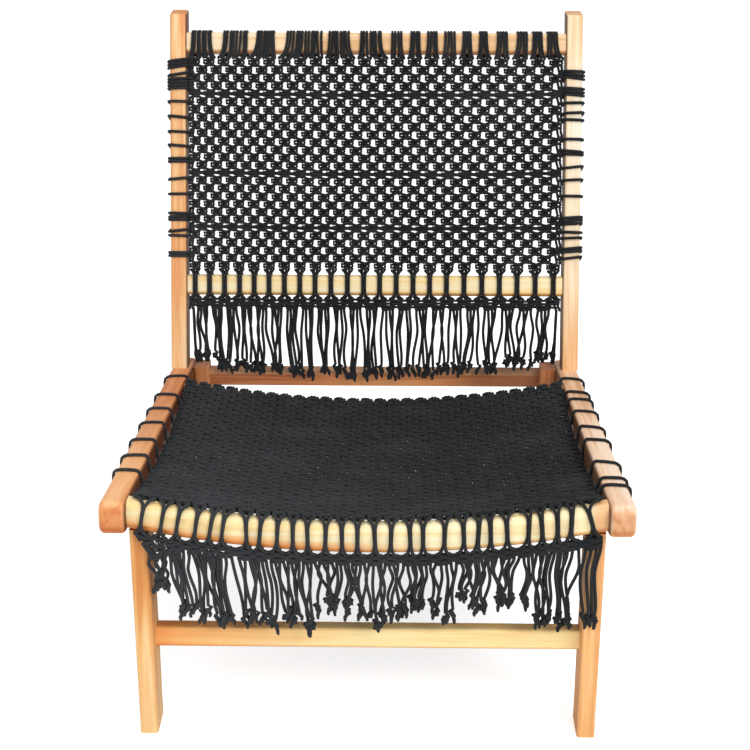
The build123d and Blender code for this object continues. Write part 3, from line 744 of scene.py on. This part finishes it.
# How far down the fringe hangs: places across the chair and heights above the floor.
end_x = np.array([-275, -230, -200, -150, -110, -60, -20, 20, 60, 100, 150, 200, 240, 275]) * mm
end_level = np.array([213, 215, 209, 206, 205, 203, 199, 204, 206, 205, 211, 218, 219, 216]) * mm
bunch_lowest = chance.uniform(-4 * mm, 4 * mm, len(back_roots))[back_bunches]
back_lowest = np.interp(back_roots[:, 0], end_x, end_level) + bunch_lowest
back_lowest += chance.uniform(-4 * mm, 4 * mm, len(back_roots))
near_leg = np.abs(back_roots[:, 0]) > leg_inner - 12 * mm
back_lowest = np.where(near_leg, np.maximum(back_lowest, leg_head_level), back_lowest)
back_strands = hanging_cords(back_roots, back_lowest, back_bunches, chance, 0.5, 3.0 * mm, 0.0)
back_strands[..., 0] = np.clip(back_strands[..., 0], -rail_inner + 3 * mm, rail_inner - 3 * mm)
back_fringe = cord_piece(
    "back_fringe_cords", [back_strands], "back_fringe", radius=1.12 * strand_radius
)


# ---------------------------------------------------------------- level cords through the back
# Three thicker cords are threaded level through rows of holes in the net, from side to side, now
# before and now behind its columns of knots.
level_cord_radius = 2.9 * mm
level_cord_rows = (4, 14, 21)  # the rows of holes that they run through
level_cord_half = back_net_wide - 6.0 * mm
weave_depth = 1.6 * mm
weave_x = np.linspace(-level_cord_half, level_cord_half, 6 * back_columns)
weave = weave_depth * np.cos(weave_x * 2 * pi / back_pitch)
threaded = [
    place_on_back(weave_x, (row + 0.5) * back_row + 0 * weave_x, weave) for row in level_cord_rows
]
level_cords = cord_piece(
    "back_level_cords", [np.stack(threaded)], "back_filler_cords", radius=level_cord_radius
)


# ---------------------------------------------------------------- lacing of the back to the posts
# A thicker cord is wound round each post and the net's edge and holds it out sideways. Its turns
# stand singly and in groups of up to four side by side.
lacing_radius = 2.4 * mm
lacing_lying = lacing_radius + 0.15 * mm
half_width = -rail_low.x
post_width = 25.0 * mm
post_depth = 35.0 * mm
post_edge_radius = 5.0 * mm
post_turn_spread = 2.6 * mm  # of the random tilt of a group of turns


def lacing_loop(inside, outside, front, rear, corner, edge, edge_deep):
    """Closed outline (across, deep) round a squared timber and, beyond its inner side, a net's edge.

    `corner` is the radius that the cord's middle follows round the timber's edges.
    """
    near = 0.293 * corner  # 1 - cos 45 degrees
    clear = 1.8 * cord_radius
    aside = min(clear, inside - edge)
    inside_from = max(front + corner, edge_deep - 8 * mm)
    return np.array([
        (edge, edge_deep), (edge + aside, edge_deep - clear), (inside, inside_from),
        (inside + near, front + near), (inside + corner, front), (outside - corner, front),
        (outside - near, front + near), (outside, front + corner), (outside, rear - corner),
        (outside - near, rear - near), (outside - corner, rear), (inside + corner, rear),
        (inside + near, rear - near), (edge + aside, edge_deep + clear),
    ])


def closed_smooth(points, steps=2):
    """Smooth closed paths: two points from each end are repeated past the other, then cut off."""
    wrapped = np.concatenate([points[:, -2:], points, points[:, :2]], axis=1)
    return smooth_path(wrapped, steps)[:, 2 * steps : (2 + points.shape[1]) * steps]


def laced(groups, side, outline_at, slant, tilt, chance):
    """Turns along a timber: for each group (place in mm, number of turns) loops side by side.

    Returns across, along and deep for every point of every loop. A loop's front leans by the slant
    and a random tilt, and its rear leans back the other way.
    """
    apart = 1.95 * lacing_radius
    own_share = 0.35  # a turn's own tilt beside its group's
    loops = []
    for place, count in groups:
        outline = outline_at(place * mm)
        group_slant = slant + chance.normal(0, tilt)
        for number in range(count):
            along = place * mm + (number - (count - 1) / 2) * apart
            outward = (outline[:, 0] - outline[:, 0].mean()) / np.ptp(outline[:, 0])
            front = np.where(outline[:, 1] < outline[:, 1].mean(), 1.0, -1.0)
            own = group_slant + chance.normal(0, tilt * own_share)
            run = along + own * outward * front
            loops.append(np.stack([side * outline[:, 0], run, outline[:, 1]], axis=1))
    return np.moveaxis(closed_smooth(np.stack(loops)), -1, 0)


post_loop = lacing_loop(
    half_width - post_width - lacing_lying, half_width + lacing_lying, -lacing_lying,
    post_depth + lacing_lying, post_edge_radius + lacing_lying, back_net_wide - 9 * mm, 3.5 * mm,
)
net_ahead = 0.2 * mm  # the net's front ahead of the posts'
net_bottom = 148.4  # the net's lower edge above the posts' feet, in mm
post_turns = {  # places above the posts' feet in mm, and turns side by side
    "left": (
        (460, 3), (444, 1), (430, 4), (403, 1), (380, 1), (358, 1), (337, 1), (316, 2), (288, 1),
        (265, 1), (231, 3), (210, 1), (202, 1), (174, 2),
    ),
    "right": (
        (445, 3), (420, 3), (403, 1), (388, 1), (378, 1), (349, 1), (329, 2), (307, 1), (288, 1),
        (264, 1), (227, 3), (210, 1), (201, 1), (183, 2), (171, 1),
    ),
}
chance = np.random.default_rng(8)
for side, name in ((-1, "left"), (1, "right")):
    places = [(place - net_bottom, count) for place, count in post_turns[name]]
    across, along, deep = laced(
        places, side, lambda place: post_loop, 0.0, post_turn_spread, chance
    )
    loops = on_back(across, along, -net_ahead - deep)
    cord_piece(
        "post_lacing_" + name, [loops], "post_lashings_" + name, radius=lacing_radius, closed=True
    )


# ---------------------------------------------------------------- seat net
# The same knots pulled tight into a dense cloth, 28 across and 53 down. It starts on top of the rear
# bar and ends on top of the front one, dipped across like the two bars and sagging between them.
rail_height = 40.0 * mm
rail_nose_radius = 14.0 * mm
below_nose = rail_height - rail_nose_radius
nose_y = rail_low.y + rail_nose_radius * (1 - cos(slope)) + below_nose * sin(slope)
nose_z = rail_high.z + rail_nose_radius * (sin(slope) + cos(slope) - 1)
seat_bar_half_deep = 14.0 * mm
seat_bar_half_high = 17.0 * mm
seat_bar_drop = 19.0 * mm  # the bars' middle line under the rails' top, at their ends
seat_dip = 29.0 * mm
front_bar_back = 27.0 * mm
rear_bar_back = 508.0 * mm
seat_columns = 28
seat_rows = 53
seat_sag = 16.0 * mm  # between the bars, in the middle of the seat
seat_edge_sag = 29.0 * mm  # along the rails, where the lacing pulls the net down
seat_rise = 21.0 * mm  # net's middle above the bars' middle line, where it lies on them
seat_from = front_bar_back + 2.0 * mm
seat_to = rear_bar_back - 4.0 * mm
seat_net_half = rail_inner - 0.5 * mm
seat_pitch = 2 * seat_net_half / seat_columns
seat_row = (seat_to - seat_from) / seat_rows
seat_knot = (7.4 * mm, 6.4 * mm, 2.9 * mm)
gathered_long = 60.0 * mm  # over this the columns run to their places on the front bar
arc_radius = (rail_inner**2 + seat_dip**2) / (2 * seat_dip)
seat_middles = (np.arange(seat_columns) + 0.5) * seat_pitch - seat_net_half
front_turn_places = mm * np.array([  # where each column turns round the front bar
    -260, -237, -219, -198, -181, -167, -140, -124, -104, -86, -69, -48, -29, -11,
    9, 28, 50, 65, 90, 112, 129, 143, 162, 187, 202, 220, 236, 258,
])
slants = mm * np.array([  # how far each turn leans to the right on its way down
    -8, -8, -8, -7, -8, -6, 1, -4, -2, 0, 1, -1, 1, 0,
    2, -1, 2, 1, -1, 2, -2, 2, 3, -1, 4, 2, -1, 13,
])


def on_rail(x, back, up):
    """Points `back` behind the nose along the rails and `up` square to their tops."""
    y = nose_y + back * cos(slope) + up * sin(slope)
    z = nose_z - back * sin(slope) + up * cos(slope)
    return np.stack(np.broadcast_arrays(x, y, z), axis=-1)


def arc_level(x, above=0.0):
    """Height at x of the bars' arc, or of the one `above` it, measured from the ends of the first."""
    return arc_radius - seat_dip - np.sqrt(np.square(arc_radius - above) - np.square(x))


def seat_level(side, back):
    """Height of the net's middle above the bars' middle line: its edges are pulled down further."""
    share = np.clip((back - seat_from) / (seat_to - seat_from), 0, 1)
    middle = seat_sag * 4 * share * (1 - share)
    edge = seat_edge_sag * np.sin(pi * share) ** 0.6
    return seat_rise - middle + (middle - edge) * np.abs(side / seat_net_half) ** 5


def at_front_turns(x):
    """Places across the net, moved to where the columns turn round the front bar."""
    regular = [-seat_net_half, *seat_middles, seat_net_half]
    return np.interp(x, regular, [-seat_net_half, *(front_turn_places - slants / 2), seat_net_half])


def place_on_seat(x, down, front):
    """Down runs from the rear bar to the front bar; front is up, out of the seat."""
    loose = np.sin(pi * np.clip(down / (seat_to - seat_from), 0, 1)) ** 0.3
    gathered = np.clip(1 - (seat_to - seat_from - down) / gathered_long, 0, 1)
    x = x + gathered * (at_front_turns(x) - x)
    back = seat_to - down + loose * drift(x, down, 5.1, 1.8 * mm)
    side = x + loose * drift(down, x, 1.3, 1.4 * mm)
    side = np.clip(side, -rail_inner + cord_radius, rail_inner - cord_radius)
    rough = drift(x * 3, down * 3, 2.2, 1.2 * mm)
    level = seat_level(side, back) + front + rough
    return on_rail(side, back, arc_level(side, level) - seat_bar_drop)


seat_cords = net_cords(seat_columns, seat_rows, seat_pitch, seat_row, *seat_knot)
seat_groups = laid_on(seat_cords, place_on_seat)
seat_cut = seat_groups[0].shape[1] // 2
seat_rear_groups = [paths[:, : seat_cut + 1] for paths in seat_groups]
seat_front_groups = [paths[:, seat_cut:] for paths in seat_groups]
seat_net_rear = cord_piece("knotted_seat_net_rear", seat_rear_groups, "seat_net")
seat_net_front = cord_piece("knotted_seat_net_front", seat_front_groups)


# ---------------------------------------------------------------- turns round the seat bars
# On the rear bar the four cords of each column lie side by side all the way round it. On the front
# bar two of them are led over the front, one on top of the other, and two behind.
seat_bar_front = seat_bar_half_deep + lying
seat_bar_top = seat_bar_half_high + lying
seat_corner_deep = seat_bar_front - 3.2 * mm
seat_corner_high = seat_bar_top - 3.2 * mm


def round_seat_bar(bar_back, x, route):
    """Paths round a dipped bar: x at every point of the route of (behind, above the bar's middle)."""
    behind, above = (values + 0 * x for values in np.moveaxis(np.array(route), -1, 0))
    return smooth_path(on_rail(x, bar_back + behind, arc_level(x, above) - seat_bar_drop), 2)


chance = np.random.default_rng(2)
on_net = (seat_middles[:, None] + knot_head(seat_pitch)).ravel()
side_by_side = np.array([-1.5, -0.5, 0.5, 1.5]) * 1.95 * cord_radius
on_bar = (seat_middles[:, None] + side_by_side).ravel()
on_bar = on_bar + np.repeat(chance.uniform(-1, 1, seat_columns), 4) * mm
on_bar = np.interp(on_bar, on_bar[[0, -1]], (lying - rail_inner, rail_inner - lying))
proud = np.tile((-0.4, 1.4, 1.4, -0.4), seat_columns) * mm  # the middle two of four stand off
round_rear = [
    (-4 * mm, seat_rise), (3 * mm, seat_bar_top + 1 * mm), (seat_corner_deep, seat_corner_high),
    (seat_bar_front, 0), (seat_corner_deep, -seat_corner_high), (0, -seat_bar_top),
    (-seat_corner_deep, -seat_corner_high), (-seat_bar_front, 0), (-seat_corner_deep, seat_corner_high),
]
shares = [0, 0.7, 1, 1, 1, 1, 1, 1, 1]
round_rear = np.array(round_rear) + unit(np.array(round_rear)) * proud[:, None, None]
turns = round_seat_bar(rear_bar_back, blended(on_net, on_bar, shares), round_rear)
seat_rear_turns = cord_piece("seat_rear_bar_turns", [turns], "seat_rear_wraps")

band_ahead = 9.0 * mm
band_drop = seat_bar_half_high + 3.6 * mm


def under_front_turns(x):
    """Places along the band: the regular columns moved to where the turns come down."""
    turns = front_turn_places + slants / 2
    regular, moved = (
        [middles[0] - seat_pitch, *middles, middles[-1] + seat_pitch]
        for middles in (seat_middles, turns)
    )
    return np.interp(x, regular, moved)


over_front = [
    (seat_from - front_bar_back, seat_rise), (-5 * mm, seat_bar_top + 1.2 * mm),
    (-seat_corner_deep, seat_corner_high), (-seat_bar_front, 6 * mm), (-seat_bar_front, -6 * mm),
    (-seat_corner_deep, -seat_corner_high), (-band_ahead - 1 * mm, -band_drop),
]
behind_bar = [
    (seat_from - front_bar_back, seat_rise - 3 * mm), (seat_corner_deep, seat_corner_high),
    (seat_bar_front, 6 * mm), (seat_bar_front, -6 * mm), (seat_corner_deep, -seat_corner_high),
    (1 * mm, -seat_bar_top), (-band_ahead, -band_drop),
]
to_bar = np.array([0, 0.6, 0.95, 1, 1, 1, 1])
to_band = np.array([0, 0, 0, 0, 0, 0.35, 1])
leaning = np.array([-0.5, -0.4, -0.25, 0, 0.25, 0.4, 0.5])
on_top = np.array([0, 0.3, 0.8, 1, 1, 0.8, 0.2])  # share by which a pair's upper cord stands off
turns = []
for part, route in ((0, over_front), (3, over_front), (1, behind_bar), (2, behind_bar)):
    on_net = at_front_turns(seat_middles + knot_foot[part])[:, None]
    beside = cord_radius * (-1 if part in (0, 1) else 1)
    on_bar = (front_turn_places + beside * (0.35 if route is over_front else 1))[:, None]
    on_bar = on_bar + slants[:, None] * leaning
    if route is behind_bar:
        on_bar = np.clip(on_bar, -leg_inner + 3 * mm, leg_inner - 3 * mm)
    if part == 3:
        route = np.array(route) - np.outer(on_top, (1.5 * cord_radius, 0))
    on_band = under_front_turns(seat_middles + knot_head(seat_pitch)[part])[:, None]
    x = on_net * (1 - to_bar) + (on_bar * (1 - to_band) + on_band * to_band) * to_bar
    turns.append(round_seat_bar(front_bar_back, x, route))
seat_front_turns = cord_piece("seat_front_bar_turns", turns, "seat_front_wraps")


# ---------------------------------------------------------------- seat band and fringe
# Three rows of knots tie the cords together under the front bar, and run on in front of the right
# leg. On the left the band hangs down inside the leg. The free ends below it hang as they like.
seat_band_rows = 3
seat_band_row = 6.0 * mm
seat_band_knot = (7.3 * mm, 3.9 * mm, 2.7 * mm)
left_end_from = 222.0 * mm  # to the left of the middle, where the band starts to turn down
left_end_long = 40.0 * mm
left_end_tall = 12.0 * mm
left_end_in = 17.0 * mm
left_end_down = 13.0 * mm
right_leg_from = 240.0 * mm  # to the right of the middle
right_leg_over = 15.0 * mm
right_end_ahead = 4.0 * mm


def rising(values, start, over):
    """0 up to `start`, 1 from `over` past it, and straight between."""
    return np.clip((values - start) / over, 0, 1)


def place_on_seat_band(x, down, front):
    """Down starts under the front bar; the band is taller on the left and uneven in height."""
    side = under_front_turns(x)
    falling = rising(-side, left_end_from, left_end_long) * rising(down, 0, left_end_tall)
    ahead = band_ahead + right_end_ahead * rising(side, right_leg_from, right_leg_over) + front
    tall = np.interp(side, (-220 * mm, -60 * mm, 200 * mm), (0.80, 0.66, 0.56))
    tall = tall * (1 + drift(side, 0 * x, 6.1, 0.12))
    low = band_drop + down * tall + drift(side, 0 * x, 4.4, 1.2 * mm) + left_end_down * falling
    side = side + left_end_in * falling
    return on_rail(side, front_bar_back - ahead, arc_level(side, -low) - seat_bar_drop)


band_cords = net_cords(seat_columns, seat_band_rows, seat_pitch, seat_band_row, *seat_band_knot)
band_groups = laid_on(band_cords, place_on_seat_band)
header_downs = (1.5 * mm, 12.0 * mm)
headers = level_runs(place_on_seat_band, seat_net_half - 4 * mm, header_downs, 0.6 * mm, 70)
seat_band = cord_piece("seat_band_of_knots", [*band_groups, headers], "seat_gather_band")

seat_roots = free_ends(band_cords, place_on_seat_band)
chance = np.random.default_rng(5)
seat_bunches = bunched(len(seat_roots), 3, 7, chance)
# How far down the fringe hangs, as on the back.
end_x = mm * np.array([
    -245, -232, -220, -197, -180, -162, -145, -100, -85, -67, -55, -30, -20, 0, 8, 22, 32, 48,
    58, 76, 85, 98, 110, 120, 132, 150, 165, 184, 196, 225, 242, 256,
])
end_level = mm * np.array([
    192, 188, 160, 156, 142, 140, 146, 145, 150, 136, 164, 172, 164, 162, 144, 143, 154, 158,
    168, 162, 172, 156, 186, 188, 156, 186, 172, 178, 156, 146, 144, 150,
])
# The bunches on the left hang a little to the right of where they start.
bunch_middles = np.array([seat_roots[seat_bunches == b, 0].mean() for b in seat_bunches])
leaned = mm * np.interp(bunch_middles / mm, (-240, -215, -120, 0, 250), (0, 9, 5, 1, -2))
seat_lowest = np.interp(bunch_middles + leaned, end_x, end_level)
seat_lowest += chance.uniform(-7 * mm, 9 * mm, len(seat_roots))
seat_strands = hanging_cords(seat_roots, seat_lowest, seat_bunches, chance, 0.6, 3.6 * mm, leaned)
# In front of the right leg the cords hang against it.
leg_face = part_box("front_leg_left")[0].y + seat_strands[..., 2] * tan(front_leg_lean) - lying
over_leg = seat_strands[..., 0] > leg_inner - 3 * mm
seat_strands[..., 1] = np.where(
    over_leg, np.minimum(seat_strands[..., 1], leg_face), seat_strands[..., 1]
)
seat_fringe = cord_piece("seat_fringe_cords", [seat_strands], "seat_fringe", radius=strand_radius)


# ---------------------------------------------------------------- lacing of the seat to the rails
# A cord is wound round each rail and the seat's edge in single turns, seven on the left and nine
# on the right, leaning this way and that. Behind the seat the last one holds only the rail.
rail_edge_radius = 6.5 * mm
rail_turn_spread = 3.0 * mm  # of the random tilt of a turn
lacing_edge = seat_net_half - 7.0 * mm
least_edge_drop = 14.0 * mm  # of the net's edge under the rails' tops
bare_from = seat_to + 8.0 * mm  # behind this a turn holds only the rail
bare_drop = 20.0 * mm


def rail_loop(back):
    """Outline of a turn round a rail and the net's edge; behind the net it holds only the rail."""
    level = arc_level(lacing_edge, seat_level(lacing_edge, back)) - seat_bar_drop
    edge, edge_drop = lacing_edge, max(-level, least_edge_drop)
    if back >= bare_from:
        edge, edge_drop = rail_inner - lying, bare_drop
    return lacing_loop(
        rail_inner - lying, half_width + lying, -lying, rail_height + lying,
        rail_edge_radius + lying, edge, edge_drop,
    )


rail_turns = {  # places behind the rails' noses in mm
    "left": (112, 168, 231, 304, 368, 435, 532),
    "right": (72, 97, 156, 243, 298, 368, 425, 461, 530),
}
chance = np.random.default_rng(21)
for side, name, slant in ((-1, "left", 1.0 * mm), (1, "right", -10.0 * mm)):
    single_turns = [(place, 1) for place in rail_turns[name]]
    across, along, deep = laced(single_turns, side, rail_loop, slant, rail_turn_spread, chance)
    loops = on_rail(across, along, -deep)
    cord_piece("rail_lacing_" + name, [loops], "rail_lashings_" + name, closed=True)


# ---------------------------------------------------------------- length of the nets' cords
# Both nets are cloths knotted from cords. For each net the length of all its cords is added up.
def declare_net(groups):
    """Add up the length of all of a net's cords; the sum is not used."""
    length = sum(np.linalg.norm(np.diff(paths, axis=1), axis=-1).sum() for paths in groups)


declare_net(
    back_groups,
)
declare_net(
    seat_rear_groups,
)
declare_net(
    seat_front_groups,
)


# ---------------------------------------------------------------- camera, floor and light
# The camera stands in front of the chair, a little over a metre up, and looks down at it. The
# floor and all round it are plain and white, with soft studio light, strongest from the right.
look_down = 24.26  # in degrees
look_left = 0.92
camera_data = bpy.data.cameras.new("camera")
camera_data.sensor_width = 36.0
camera_data.lens = 70.6
camera_data.shift_x = 0.004
camera = bpy.data.objects.new("camera", camera_data)
camera.location = (0.0296, -1.8657, 1.1466)
camera.rotation_euler = (radians(90 - look_down), 0.0, radians(look_left))
bpy.context.scene.collection.objects.link(camera)
bpy.context.scene.camera = camera


def backdrop_finish():
    """White floor: it keeps the object's shadow, and camera rays get a little more white."""
    floor_values = {"Roughness": 0.9, "Specular IOR Level": 0.1, "Emission Strength": 1.0}
    floor = Finish("pale_floor", floor_values)
    cloud = floor.node("ShaderNodeTexNoise", None, Vector=floor.place(), Scale=1.3, Detail=2.0)
    floor.feed("Base Color", floor.mix(cloud, painted(240, 240, 240), painted(246, 246, 246)))
    sight = floor.node("ShaderNodeLightPath")
    floor.feed("Emission Color", floor.mix(sight, (0.0, 0.0, 0.0), (0.62, 0.62, 0.62)))
    return floor.material


floor_half = 6.0
floor_mesh = bpy.data.meshes.new("floor")
floor_corners = [(x * floor_half, y * floor_half, 0) for x, y in ((-1, -1), (1, -1), (1, 1), (-1, 1))]
floor_mesh.from_pydata(floor_corners, [], [(0, 1, 2, 3)])
floor_mesh.materials.append(backdrop_finish())
floor = bpy.data.objects.new("floor", floor_mesh)
bpy.context.scene.collection.objects.link(floor)

# The surroundings look white to the camera and light the chair at about half that strength.
light_from_all_round = 0.48
white_to_camera = 1.0
world = bpy.data.worlds.new("studio")
world.use_nodes = True
bpy.context.scene.world = world
surround = world.node_tree.nodes["Background"]
surround.inputs["Color"].default_value = (1.0, 1.0, 1.0, 1.0)
sight = world.node_tree.nodes.new("ShaderNodeLightPath")
strength = world.node_tree.nodes.new("ShaderNodeMapRange")
strength.inputs["To Min"].default_value = light_from_all_round
strength.inputs["To Max"].default_value = white_to_camera
world.node_tree.links.new(sight.outputs["Is Camera Ray"], strength.inputs["Value"])
world.node_tree.links.new(strength.outputs["Result"], surround.inputs["Strength"])


def soft_light(name, place, aim, size, watts):
    """Square area lamp at a place, tipped and then turned round so that it faces a point."""
    lamp_data = bpy.data.lights.new(name, "AREA")
    lamp_data.size = size
    lamp_data.energy = watts
    lamp = bpy.data.objects.new(name, lamp_data)
    lamp.location = place
    dx, dy, dz = (a - p for a, p in zip(aim, place))
    lamp.rotation_euler = (pi / 2 + atan2(dz, hypot(dx, dy)), 0.0, atan2(dy, dx) - pi / 2)
    bpy.context.scene.collection.objects.link(lamp)


soft_light("key", (1.6, -2.0, 2.4), (0.0, 0.0, 0.3), 1.6, 50.0)
soft_light("fill", (-2.2, -1.8, 1.6), (0.0, 0.0, 0.3), 2.0, 17.0)
soft_light("top", (0.2, 0.6, 3.0), (0.0, 0.0, 0.2), 2.0, 21.0)
soft_light("front", (0.2, -3.0, 0.7), (0.0, 0.0, 0.3), 1.5, 10.0)

bpy.context.scene.view_settings.view_transform = "Standard"
